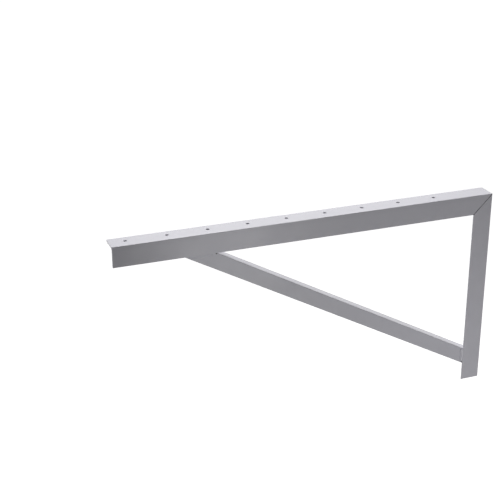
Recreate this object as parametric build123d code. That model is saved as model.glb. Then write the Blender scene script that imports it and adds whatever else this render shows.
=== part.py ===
from build123d import *
import os
from math import atan2, cos, sin, sqrt, tan

# Wall bracket for the outdoor unit of an air conditioner, welded from three steel angles.
#
# Frame: the origin is the centre of the lower wall hole, on the wall. +X points away from the wall
# along the arm, +Z is up, and +Y is the side that the flat outer faces of the webs look to.
# All lengths are in millimetres.

# Arm and post: one size of hot-rolled equal angle
angle_leg = 40.0
angle_wall = 4.0
angle_root_radius = 6.0
angle_toe_radius = 3.0
angle_heel_radius = 1.2
arm_length = 775.0
post_height = 410.0

# Brace: a lighter equal angle
brace_leg = 30.0
brace_wall = 3.0
brace_root_radius = 5.0
brace_toe_radius = 2.5
brace_heel_radius = 1.0
brace_head_from_free_end = 130.0
brace_heel_above_foot = 52.0

# Fit-up between the sawn pieces
mitre_gap = 0.8
brace_end_gap = 0.5
corner_nip_clearance = 0.5

# Holes, all on one line at the back mark of the angle, measured from the heel
back_mark = 22.0
unit_hole_diameter = 7.0
unit_hole_pitch = 78.0
unit_hole_from_free_end = 30.0
unit_hole_from_wall_least = 100.0
wall_hole_diameter = 12.0
wall_hole_above_foot = 25.0
wall_slot_width = 13.0
wall_slot_length = 24.0
wall_slot_below_seat = 50.0

# Weld beads
seam_leg = 3.2
seam_crown = 2.0
fillet_leg = 5.0
fillet_crown = 0.6
lap_leg = 6.0
plate_edge_margin = 0.6
ripple_pitch = 3.0
ripple_depth = 0.2
ripple_crest_share = 0.4
head_weld_pit = 5.0
foot_weld_pit = 3.0

# Rounded ends of the beads: their length, the share of the bead's height that is left at the tip,
# and the point that the curve passes, as shares of the length and of the height
bead_end_length = 2.5
bead_end_share = 0.3
bead_end_bulge = (0.3, 0.8)
bead_end_clearance = 1.5

# Places that follow from the sizes above
along_x = Vector(1, 0, 0)
along_y = Vector(0, 1, 0)
along_z = Vector(0, 0, 1)
foot_z = -wall_hole_above_foot
seat_z = foot_z + post_height
web_outer_y = back_mark
web_inner_y = web_outer_y - angle_wall
flange_toe_y = web_outer_y - angle_leg
underside_z = seat_z - angle_wall
web_toe_z = seat_z - angle_leg
drill_length = 3 * angle_wall

# The brace's heel line runs from the wall flange up to the arm's upper flange
brace_foot_x = angle_wall + brace_end_gap
brace_foot_z = foot_z + brace_heel_above_foot
brace_head_x = arm_length - brace_head_from_free_end
brace_head_z = underside_z - brace_end_gap
brace_slope = atan2(brace_head_z - brace_foot_z, brace_head_x - brace_foot_x)
brace_length = (brace_head_x - brace_foot_x) / cos(brace_slope)
brace_foot = Vector(brace_foot_x, web_inner_y, brace_foot_z)
up_brace = Vector(cos(brace_slope), 0, sin(brace_slope))


def angle_section(leg, wall, root_radius, toe_radius, heel_radius):
    """Section of a rolled angle: heel at the origin, legs along +X and +Y, sharp outer toes."""
    outline = Polyline((0, 0), (leg, 0), (leg, wall), (wall, wall), (wall, leg), (0, leg), close=True)
    section = make_face(outline)
    rounded = {
        (wall, wall): root_radius,
        (0, 0): heel_radius,
        (leg, wall): toe_radius,
        (wall, leg): toe_radius,
    }
    for point, radius in rounded.items():
        corner = section.vertices().sort_by_distance(point)[0]
        section = fillet(corner, radius)
    return section


def angle_bar(start, toward, length, section):
    """Bar from its heel corner at start, with one leg to -Y and the other square to the bar."""
    plane = Plane(origin=start, x_dir=-along_y, z_dir=toward)
    return extrude(plane * section, amount=length)


# Both sections
heavy_section = angle_section(
    angle_leg, angle_wall, angle_root_radius, angle_toe_radius, angle_heel_radius
)
light_section = angle_section(
    brace_leg, brace_wall, brace_root_radius, brace_toe_radius, brace_heel_radius
)

# Mitre between the arm and the post, with half the gap on each side
outer_corner = Vector(0, web_outer_y, seat_z)
mitre_normal = Vector(1, 0, 1).normalized()
arm_cut = Plane(origin=outer_corner + mitre_normal * (mitre_gap / 2), z_dir=mitre_normal)
post_cut = Plane(origin=outer_corner - mitre_normal * (mitre_gap / 2), z_dir=mitre_normal)

# Arm: the angle lies with its flange on top, under the unit's feet, with as many holes as fit
arm_bar = angle_bar(outer_corner, along_x, arm_length, heavy_section)
arm_angle = split(arm_bar, bisect_by=arm_cut, keep=Keep.TOP)
drilled_length = arm_length - unit_hole_from_free_end - unit_hole_from_wall_least
unit_hole_count = int(drilled_length // unit_hole_pitch) + 1
for index in range(unit_hole_count):
    hole_x = arm_length - unit_hole_from_free_end - index * unit_hole_pitch
    hole_plane = Plane(origin=(hole_x, 0, seat_z), z_dir=along_z)
    arm_angle -= hole_plane * Cylinder(unit_hole_diameter / 2, drill_length)

# Post: one leg is the wall flange, the other is the web in line with the arm's web
post_bar = angle_bar(Vector(0, web_outer_y, foot_z), along_z, post_height, heavy_section)
post_angle = split(post_bar, bisect_by=post_cut, keep=Keep.BOTTOM)
wall_plane = Plane(origin=(0, 0, 0), z_dir=along_x)
post_angle -= wall_plane * Cylinder(wall_hole_diameter / 2, drill_length)
slot_plane = Plane(origin=(0, 0, seat_z - wall_slot_below_seat), x_dir=along_z, z_dir=along_x)
slot_outline = slot_plane * SlotOverall(wall_slot_length, wall_slot_width)
post_angle -= extrude(slot_outline, amount=drill_length, both=True)

# Brace: sawn square at both ends, its corners nipped at 45 degrees to clear the root radii
brace_bar = angle_bar(brace_foot, up_brace, brace_length, light_section)
nip = angle_root_radius + corner_nip_clearance
head_nip = Plane(origin=(0, web_inner_y - nip, underside_z), z_dir=(0, 1, 1))
foot_nip = Plane(origin=(angle_wall, web_inner_y - nip, 0), z_dir=(-1, 1, 0))
brace_angle = split(brace_bar, bisect_by=head_nip, keep=Keep.BOTTOM)
brace_angle = split(brace_angle, bisect_by=foot_nip, keep=Keep.BOTTOM)


def bead_profile(length, radius, end_radius, rippled):
    """Half outline of a weld bead along X: rounded ends, and a ripple for each step of the torch."""
    valley = radius - ripple_depth if rippled else radius
    bulge_x = bead_end_length * bead_end_bulge[0]
    bulge_radius = end_radius + (valley - end_radius) * bead_end_bulge[1]
    body_end = length - bead_end_length
    lines = [
        Line((0, 0), (0, end_radius)),
        ThreePointArc((0, end_radius), (bulge_x, bulge_radius), (bead_end_length, valley)),
    ]
    if rippled:
        count = max(2, round((body_end - bead_end_length) / ripple_pitch))
        step = (body_end - bead_end_length) / count
        flank = step * (1 - ripple_crest_share) / 2
        for index in range(count):
            left = bead_end_length + index * step
            right = left + step
            crest = (left + flank, radius), (right - flank, radius)
            lines.append(Polyline((left, valley), *crest, (right, valley)))
    else:
        lines.append(Line((bead_end_length, valley), (body_end, valley)))
    lines += [
        ThreePointArc((body_end, valley), (length - bulge_x, bulge_radius), (length, end_radius)),
        Line((length, end_radius), (length, 0)),
        Line((length, 0), (0, 0)),
    ]
    return make_face(Curve() + lines)


def weld_bead(
    corner, seam, length, face_a, face_b, leg_a, leg_b, crown, sink=0.0, rippled=True
):
    """Bead along seam, from corner, in the angle that turns from face_a to face_b about the seam.

    The bead reaches leg_a and leg_b along the faces and bulges by crown over the line between its
    toes. It also fills what lies behind the corner, to the depth of sink, once the steel is cut
    from it.
    """
    toe_a = corner + face_a * leg_a
    toe_b = corner + face_b * leg_b
    chord = toe_b - toe_a
    outward = chord.cross(seam).normalized()
    radius = (chord.length**2 / 4 + crown**2) / (2 * crown)
    centre = (toe_a + toe_b) / 2 + outward * (crown - radius)
    corner_radius = (corner - centre).length
    end_radius = corner_radius + bead_end_share * (radius - corner_radius)
    profile_plane = Plane(origin=centre, x_dir=seam, z_dir=outward.cross(seam))
    profile = profile_plane * bead_profile(length, radius, end_radius, rippled)
    rod = revolve(profile, axis=Axis(centre, seam))
    reach = 2 * radius
    apex = corner - face_b * sink
    far_a = apex + face_a * reach
    far_b = corner + face_b * reach
    outline = Polyline(apex, far_a, far_a + outward * reach, far_b + outward * reach, far_b, close=True)
    sector = extrude(make_face(outline), amount=length, dir=seam)
    return rod & sector


# Mitre weld on the inner side of the webs, between the root radii and the toes
seam_start = angle_wall + angle_root_radius + seam_leg
seam_stop = angle_leg - angle_toe_radius - bead_end_clearance
mitre_seam = Vector(1, 0, -1).normalized()
mitre_web_weld = weld_bead(
    corner=Vector(seam_start, web_inner_y, seat_z - seam_start),
    seam=mitre_seam,
    length=(seam_stop - seam_start) * sqrt(2),
    face_a=mitre_normal,
    face_b=-mitre_normal,
    leg_a=seam_leg,
    leg_b=seam_leg,
    crown=seam_crown,
)

# Mitre weld in the inside corner of the two flanges, along Y
flange_weld_start = flange_toe_y + angle_toe_radius + bead_end_clearance
flange_weld_stop = web_inner_y - angle_root_radius - bead_end_clearance
mitre_flange_weld = weld_bead(
    corner=Vector(angle_wall, flange_weld_start, underside_z),
    seam=along_y,
    length=flange_weld_stop - flange_weld_start,
    face_a=along_x,
    face_b=-along_z,
    leg_a=fillet_leg,
    leg_b=fillet_leg,
    crown=fillet_crown,
)

# Lap weld of the brace's head: under the arm's lower edge, on the brace's outer face, drawn smooth.
# It starts where the brace reaches far enough below the edge to carry the bead, and stops short of
# the brace's heel.
edge_leg = angle_wall - plate_edge_margin
head_seam_heel_x = brace_foot_x + (web_toe_z - brace_foot_z) / tan(brace_slope)
head_seam_toe_x = head_seam_heel_x + brace_leg / sin(brace_slope)
head_weld_start = head_seam_toe_x - lap_leg / tan(brace_slope)
brace_head_weld = weld_bead(
    corner=Vector(head_weld_start, web_inner_y, web_toe_z),
    seam=-along_x,
    length=head_weld_start - head_seam_heel_x - head_weld_pit,
    face_a=along_y,
    face_b=-along_z,
    leg_a=edge_leg,
    leg_b=lap_leg,
    crown=fillet_crown,
    sink=angle_toe_radius,
    rippled=False,
)
brace_head_weld -= arm_angle

# Lap weld of the brace's foot: along the post's edge, on the brace's outer face, drawn smooth too
foot_seam_top = brace_foot_z + (angle_leg - brace_foot_x) * tan(brace_slope)
foot_seam_length = brace_leg / cos(brace_slope)
brace_foot_weld = weld_bead(
    corner=Vector(angle_leg, web_inner_y, foot_seam_top - bead_end_clearance),
    seam=-along_z,
    length=foot_seam_length - bead_end_clearance - foot_weld_pit,
    face_a=along_y,
    face_b=along_x,
    leg_a=edge_leg,
    leg_b=lap_leg,
    crown=fillet_crown,
    sink=angle_toe_radius,
    rippled=False,
)
brace_foot_weld -= post_angle

# Weld under the brace's upper flange, where its heel end meets the wall flange, along Y
heel_weld_start = web_inner_y - brace_leg + brace_toe_radius + bead_end_clearance
heel_weld_stop = web_inner_y - brace_wall - brace_root_radius - bead_end_clearance
flange_depth = brace_wall / cos(brace_slope)
heel_corner_z = brace_foot_z - brace_end_gap * tan(brace_slope) - flange_depth
brace_heel_weld = weld_bead(
    corner=Vector(angle_wall, heel_weld_start, heel_corner_z),
    seam=along_y,
    length=heel_weld_stop - heel_weld_start,
    face_a=up_brace,
    face_b=-along_z,
    leg_a=fillet_leg,
    leg_b=fillet_leg,
    crown=fillet_crown,
    sink=flange_depth,
)
brace_heel_weld -= brace_angle

steel = {"arm_angle": arm_angle, "post_angle": post_angle, "brace_angle": brace_angle}
welds = {
    "mitre_web_weld": mitre_web_weld,
    "mitre_flange_weld": mitre_flange_weld,
    "brace_head_weld": brace_head_weld,
    "brace_foot_weld": brace_foot_weld,
    "brace_heel_weld": brace_heel_weld,
}
os.makedirs("parts", exist_ok=True)
for name, shape in {**steel, **welds}.items():
    export_step(shape, f"parts/{name}.step")
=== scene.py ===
"""Looks of a wall bracket for an air conditioner's outdoor unit, of welded and painted steel."""

import math

import bpy
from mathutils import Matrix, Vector

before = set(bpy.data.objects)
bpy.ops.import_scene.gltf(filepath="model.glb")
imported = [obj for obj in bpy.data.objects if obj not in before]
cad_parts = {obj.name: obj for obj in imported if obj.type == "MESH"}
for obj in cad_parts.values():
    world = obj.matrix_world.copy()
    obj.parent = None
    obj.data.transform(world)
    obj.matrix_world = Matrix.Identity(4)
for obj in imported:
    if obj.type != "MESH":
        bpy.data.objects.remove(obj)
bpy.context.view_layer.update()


# Steel angles
#
# The arm, the post and the brace are hot-rolled equal angles, sawn to length and drilled. They are
# welded together bare and then powder coated as one, so the three wear the same light grey coat.

mm = 0.001
angle_nodes = [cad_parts[name] for name in ("arm_angle", "post_angle", "brace_angle")]


def linear(hex_colour):
    """Linear RGBA of an sRGB colour such as C9C8CC."""
    shares = [int(hex_colour[start : start + 2], 16) / 255 for start in (0, 2, 4)]
    return [s / 12.92 if s <= 0.04045 else ((s + 0.055) / 1.055) ** 2.4 for s in shares] + [1.0]


def add_node(tree, kind, inputs=None, **settings):
    """A node of that kind with those settings, its inputs set to values or linked to sockets."""
    node = tree.nodes.new(kind)
    for name, value in settings.items():
        setattr(node, name, value)
    for socket, value in (inputs or {}).items():
        if isinstance(value, bpy.types.NodeSocket):
            tree.links.new(value, node.inputs[socket])
        else:
            node.inputs[socket].default_value = value
    return node


def clear_material(name):
    """A new material with nodes and only its output node, and that output."""
    material = bpy.data.materials.new(name)
    material.use_nodes = True
    tree = material.node_tree
    tree.nodes.clear()
    return material, tree, add_node(tree, "ShaderNodeOutputMaterial")


# A Mix node has one pair of inputs and one output for each kind of value, all of the same names.
# These are the numbers of those for colours.
mix_first, mix_second, mixed = 6, 7, 2

# Polyester powder coat, satin. It flows out in the oven to a fine orange peel, lies a little
# unevenly, and follows the long shallow waves that the rolls leave on the steel.
coat_colour = "C8C7CE"
coat_thin_colour = "BFBEC6"
coat_ior = 1.5
coat_roughness = (0.26, 0.36)
coat_patch_size = 45 * mm
coat_patch_detail = 3.0
orange_peel_size = 2.2 * mm
orange_peel_detail = 1.0
orange_peel_depth = 0.012 * mm
rolling_wave_size = 28 * mm
rolling_wave_depth = 0.05 * mm

# Powder doesn't get into the sawn mitre, so the steel in its gap stays nearly bare and dark. The
# same dark is painted as shade on a thin band of the faces beside the gap, and as painted shade in
# the notches where the lap beads stop short. The mitre's plane leans at 45 degrees from the corner
# of the arm's top and the wall. A notch's painted shade fades from the first radius to the second.
bare_steel_and_shade_colour = "47464A"
arm_top_height = 385 * mm
mitre_normal = Vector((1.0, 0.0, 1.0)).normalized()
mitre_from_origin = mitre_normal.z * arm_top_height
mitre_shade_reach = 0.65 * mm
mitre_end_from_wall = 42 * mm
shaded_notch_at_head_bead = (0.5790, 0.0185, 0.3426)
shaded_notch_at_foot_bead = (0.0418, 0.0203, 0.0168)
notch_shade_radius = (1.3 * mm, 2.3 * mm)


def add_painted_notch_shade(tree, place):
    """A socket that is 1 in the notches where the lap beads stop, painted as shade, and 0
    elsewhere.
    """
    shade = None
    for notch in (shaded_notch_at_head_bead, shaded_notch_at_foot_bead):
        away = add_node(tree, "ShaderNodeVectorMath", {0: place, 1: notch}, operation="DISTANCE")
        in_notch = add_node(
            tree,
            "ShaderNodeMapRange",
            {
                "Value": away.outputs["Value"],
                "From Min": notch_shade_radius[0],
                "From Max": notch_shade_radius[1],
                "To Min": 1.0,
                "To Max": 0.0,
            },
        ).outputs["Result"]
        if shade is not None:
            in_notch = add_node(
                tree, "ShaderNodeMath", {0: shade, 1: in_notch}, operation="MAXIMUM"
            ).outputs["Value"]
        shade = in_notch
    return shade


powder_coat, tree, surface = clear_material("satin_powder_coat")
place = add_node(tree, "ShaderNodeTexCoord").outputs["Object"]
patches = add_node(
    tree,
    "ShaderNodeTexNoise",
    {"Vector": place, "Scale": 1 / coat_patch_size, "Detail": coat_patch_detail},
)
coat_mix = add_node(
    tree,
    "ShaderNodeMix",
    {
        "Factor": patches.outputs["Fac"],
        mix_first: linear(coat_colour),
        mix_second: linear(coat_thin_colour),
    },
    data_type="RGBA",
)
sheen_of_patches = add_node(
    tree,
    "ShaderNodeMapRange",
    {"Value": patches.outputs["Fac"], "To Min": coat_roughness[0], "To Max": coat_roughness[1]},
)
along_mitre_normal = add_node(
    tree,
    "ShaderNodeVectorMath",
    {0: place, 1: mitre_normal},
    operation="DOT_PRODUCT",
)
on_mitre_plane = add_node(
    tree,
    "ShaderNodeMath",
    {0: along_mitre_normal.outputs["Value"], 1: mitre_from_origin, 2: mitre_shade_reach},
    operation="COMPARE",
)
from_wall = add_node(tree, "ShaderNodeSeparateXYZ", {"Vector": place}).outputs["X"]
at_corner = add_node(
    tree, "ShaderNodeMath", {0: from_wall, 1: mitre_end_from_wall}, operation="LESS_THAN"
)
in_mitre = add_node(
    tree,
    "ShaderNodeMath",
    {0: on_mitre_plane.outputs["Value"], 1: at_corner.outputs["Value"]},
    operation="MULTIPLY",
)
# The mitre's gap is bare steel; the band beside it and the notches are painted shade.
bare_or_painted_shade = add_node(
    tree,
    "ShaderNodeMath",
    {0: in_mitre.outputs["Value"], 1: add_painted_notch_shade(tree, place)},
    operation="MAXIMUM",
)
coat_or_steel_or_shade = add_node(
    tree,
    "ShaderNodeMix",
    {
        "Factor": bare_or_painted_shade.outputs["Value"],
        mix_first: coat_mix.outputs[mixed],
        mix_second: linear(bare_steel_and_shade_colour),
    },
    data_type="RGBA",
)
waves = add_node(tree, "ShaderNodeTexNoise", {"Vector": place, "Scale": 1 / rolling_wave_size})
wave_bump = add_node(
    tree,
    "ShaderNodeBump",
    {"Height": waves.outputs["Fac"], "Strength": 1.0, "Distance": rolling_wave_depth},
)
peel = add_node(
    tree,
    "ShaderNodeTexNoise",
    {"Vector": place, "Scale": 1 / orange_peel_size, "Detail": orange_peel_detail},
)
peel_bump = add_node(
    tree,
    "ShaderNodeBump",
    {
        "Height": peel.outputs["Fac"],
        "Strength": 1.0,
        "Distance": orange_peel_depth,
        "Normal": wave_bump.outputs["Normal"],
    },
)
coat_shader = add_node(
    tree,
    "ShaderNodeBsdfPrincipled",
    {
        "Base Color": coat_or_steel_or_shade.outputs[mixed],
        "Roughness": sheen_of_patches.outputs["Result"],
        "IOR": coat_ior,
        "Normal": peel_bump.outputs["Normal"],
    },
)
tree.links.new(coat_shader.outputs["BSDF"], surface.inputs["Surface"])

for steel in angle_nodes:
    steel.material_slots[0].material = powder_coat


# Welds
#
# Five beads of mild steel, laid by hand with a wire torch, hold the angles together: along the
# mitre inside the webs, in the inside corner of the mitred flanges, along both edges that the brace
# laps, and under the brace's upper flange at the wall.

bead_nodes = [
    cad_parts[name]
    for name in (
        "mitre_web_weld",
        "mitre_flange_weld",
        "brace_head_weld",
        "brace_foot_weld",
        "brace_heel_weld",
    )
]

# The same powder coat, over weld metal. The lumps and the fine grain of the bead show through it,
# and the hollows between the lumps are painted a greyer tone as shade.
bead_colour = "C8C7CE"
bead_hollow_shade_colour = "B7B6BF"
bead_roughness = 0.30
bead_lump_size = 2.6 * mm
bead_lump_depth = 0.3 * mm
bead_lump_detail = 2.0
bead_grain_size = 0.9 * mm
bead_grain_depth = 0.05 * mm
bead_grain_detail = 1.0

coated_bead, tree, surface = clear_material("powder_coat_over_weld")
place = add_node(tree, "ShaderNodeTexCoord").outputs["Object"]
lumps = add_node(
    tree,
    "ShaderNodeTexNoise",
    {"Vector": place, "Scale": 1 / bead_lump_size, "Detail": bead_lump_detail},
)
grain = add_node(
    tree,
    "ShaderNodeTexNoise",
    {"Vector": place, "Scale": 1 / bead_grain_size, "Detail": bead_grain_detail},
)
# Painted shade: the lower the lumps, the greyer the coat.
bead_with_hollow_shade = add_node(
    tree,
    "ShaderNodeMix",
    {
        "Factor": lumps.outputs["Fac"],
        mix_first: linear(bead_hollow_shade_colour),
        mix_second: linear(bead_colour),
    },
    data_type="RGBA",
)
# The notches' painted shade also darkens the ends of the lap beads.
bead_or_painted_shade = add_node(
    tree,
    "ShaderNodeMix",
    {
        "Factor": add_painted_notch_shade(tree, place),
        mix_first: bead_with_hollow_shade.outputs[mixed],
        mix_second: linear(bare_steel_and_shade_colour),
    },
    data_type="RGBA",
)
lump_bump = add_node(
    tree,
    "ShaderNodeBump",
    {"Height": lumps.outputs["Fac"], "Strength": 1.0, "Distance": bead_lump_depth},
)
grain_bump = add_node(
    tree,
    "ShaderNodeBump",
    {
        "Height": grain.outputs["Fac"],
        "Strength": 1.0,
        "Distance": bead_grain_depth,
        "Normal": lump_bump.outputs["Normal"],
    },
)
bead_shader = add_node(
    tree,
    "ShaderNodeBsdfPrincipled",
    {
        "Base Color": bead_or_painted_shade.outputs[mixed],
        "Roughness": bead_roughness,
        "IOR": coat_ior,
        "Normal": grain_bump.outputs["Normal"],
    },
)
tree.links.new(bead_shader.outputs["BSDF"], surface.inputs["Surface"])

for bead in bead_nodes:
    bead.material_slots[0].material = coated_bead


# Floor and background
#
# The bracket hangs as on a wall, a metre above a white floor that runs out of sight. What is seen
# of the floor and of the world is white, and the floor keeps the bracket's soft shadow.

floor_height = -1.0
floor_size = 30.0
world_light = 0.063

# Matt white vinyl. It glows less under the bracket, where the lamps light it too, so that it looks
# equally white from there to the horizon.
floor_colour = "E6E6E6"
floor_glow = (0.78, 1.0)
lit_floor_reach = 6.0


def add_seen_rays(tree):
    """A socket that is 1 for what is seen, directly, in gloss or through glass, and 0 for light."""
    rays = add_node(tree, "ShaderNodeLightPath")
    seen = add_node(
        tree,
        "ShaderNodeMath",
        {0: rays.outputs["Is Camera Ray"], 1: rays.outputs["Is Glossy Ray"]},
        operation="MAXIMUM",
    )
    seen_at_all = add_node(
        tree,
        "ShaderNodeMath",
        {0: seen.outputs["Value"], 1: rays.outputs["Is Transmission Ray"]},
        operation="MAXIMUM",
    )
    return seen_at_all.outputs["Value"]


bpy.ops.mesh.primitive_plane_add(size=floor_size, location=(0, 0, floor_height))
floor = bpy.context.active_object
floor.name = "floor"
white_floor, tree, surface = clear_material("white_studio_floor")
from_middle = add_node(
    tree,
    "ShaderNodeVectorMath",
    {0: add_node(tree, "ShaderNodeTexCoord").outputs["Object"]},
    operation="LENGTH",
)
glow_here = add_node(
    tree,
    "ShaderNodeMapRange",
    {
        "Value": from_middle.outputs["Value"],
        "From Max": lit_floor_reach,
        "To Min": floor_glow[0],
        "To Max": floor_glow[1],
    },
    interpolation_type="SMOOTHSTEP",
)
glow_strength = add_node(
    tree,
    "ShaderNodeMath",
    {0: add_seen_rays(tree), 1: glow_here.outputs["Result"]},
    operation="MULTIPLY",
)
matt = add_node(tree, "ShaderNodeBsdfDiffuse", {"Color": linear(floor_colour)})
glow = add_node(tree, "ShaderNodeEmission", {"Strength": glow_strength.outputs["Value"]})
floor_sum = add_node(
    tree, "ShaderNodeAddShader", {0: matt.outputs["BSDF"], 1: glow.outputs["Emission"]}
)
tree.links.new(floor_sum.outputs["Shader"], surface.inputs["Surface"])
floor.data.materials.append(white_floor)

world = bpy.data.worlds.new("white_studio")
bpy.context.scene.world = world
world.use_nodes = True
tree = world.node_tree
tree.nodes.clear()
world_strength = add_node(
    tree,
    "ShaderNodeMapRange",
    {"Value": add_seen_rays(tree), "To Min": world_light, "To Max": 1.0},
)
sky = add_node(
    tree,
    "ShaderNodeBackground",
    {"Color": (1.0, 1.0, 1.0, 1.0), "Strength": world_strength.outputs["Result"]},
)
add_node(tree, "ShaderNodeOutputWorld", {"Surface": sky.outputs["Background"]})


# Lamps
#
# One softbox stands high up behind the bracket, one hangs over it, and one stands behind its free
# end. They make the upper faces the brightest. Three weak ones in front fill the webs' flat faces.
# Gloss doesn't show the one at the free end, which would burn out the arm's top in low back views.


def add_softbox(name, size, power, spread, place, aim, in_gloss=True):
    """A square area lamp that looks from its place at the point of its aim."""
    softbox_data = bpy.data.lights.new(name, "AREA")
    softbox_data.shape = "SQUARE"
    softbox_data.size = size
    softbox_data.energy = power
    softbox_data.spread = math.radians(spread)
    softbox = bpy.data.objects.new(name, softbox_data)
    softbox.location = place
    line_of_sight = Vector(aim) - Vector(place)
    softbox.rotation_euler = line_of_sight.to_track_quat("-Z", "Y").to_euler()
    softbox.visible_camera = False
    softbox.visible_glossy = in_gloss
    bpy.context.scene.collection.objects.link(softbox)


# After the name: the side of its square in metres, its power in watts, the angle of its light in
# degrees, its place, and the point that it looks at.
add_softbox("high_back_softbox", 1.4, 50.0, 180, (-0.22, -1.42, 2.18), (0.4, 0.0, 0.3))
add_softbox("overhead_softbox", 1.4, 9.8, 180, (0.4, 0.0, 2.8), (0.4, 0.0, 0.3))
add_softbox(
    "free_end_softbox", 1.5, 26.0, 180, (2.0, -1.3, 1.0), (0.6, 0.0, 0.3), in_gloss=False
)
add_softbox("low_front_softbox", 0.8, 1.6, 180, (0.35, 1.2, -0.8), (0.35, 0.0, 0.25))
add_softbox("post_foot_softbox", 0.5, 0.64, 60, (0.1, 1.3, -0.3), (0.1, 0.0, 0.05))
add_softbox("arm_web_softbox", 0.15, 0.018, 14, (0.58, 1.6, 0.2), (0.58, 0.0, 0.38))


# Camera
#
# It stands beyond the free end of the arm, on the side of the flat faces and above the arm, where
# the fit to the photograph's edges and holes puts it. The picture is square.

lens_mm = 82.38
sensor_width_mm = 36.0
camera_place = (1.2085, 1.8477, 1.1547)
camera_turn_degrees = (67.387, 0.132, 159.143)

camera_data = bpy.data.cameras.new("camera")
camera_data.sensor_fit = "HORIZONTAL"
camera_data.sensor_width = sensor_width_mm
camera_data.lens = lens_mm
camera = bpy.data.objects.new("camera", camera_data)
camera.location = camera_place
camera.rotation_euler = [math.radians(angle) for angle in camera_turn_degrees]
bpy.context.scene.collection.objects.link(camera)
bpy.context.scene.camera = camera

bpy.context.scene.view_settings.view_transform = "Standard"
